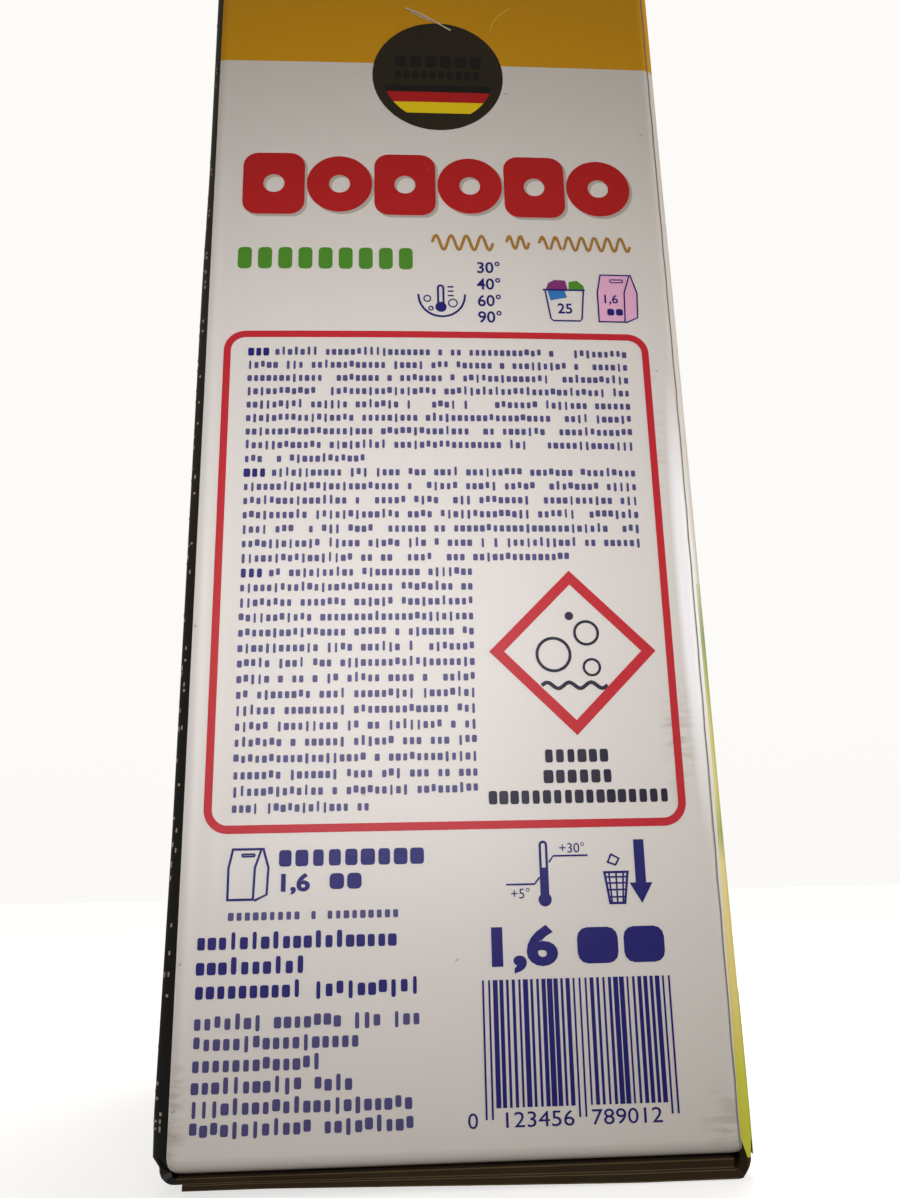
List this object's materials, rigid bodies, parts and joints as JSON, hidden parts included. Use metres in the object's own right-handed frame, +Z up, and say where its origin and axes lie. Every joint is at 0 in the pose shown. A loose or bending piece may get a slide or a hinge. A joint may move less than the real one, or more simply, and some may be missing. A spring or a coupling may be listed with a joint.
{
  "type": "washing powder box",
  "caption": "Tall sealed carton of washing powder in micro-corrugated board, with bowed panels, soft creases and overlapped glued flaps at both ends.",
  "frame": {"origin": "on the floor, under the middle of the carton", "axes": "+Z up along the carton's height, +X out of the narrow side panel that carries the washing and warning print, +Y out of the pale main face that the outer flaps are hinged to; the dark main face looks to -Y"},
  "size_m": [0.1416, 0.1006, 0.25],
  "materials": {
    "printed_board": "white clay-coated litho board, printed and satin varnished"
  },
  "bodies": {
    "root": {"carton": "printed_board"}
  },
  "joints": []
}
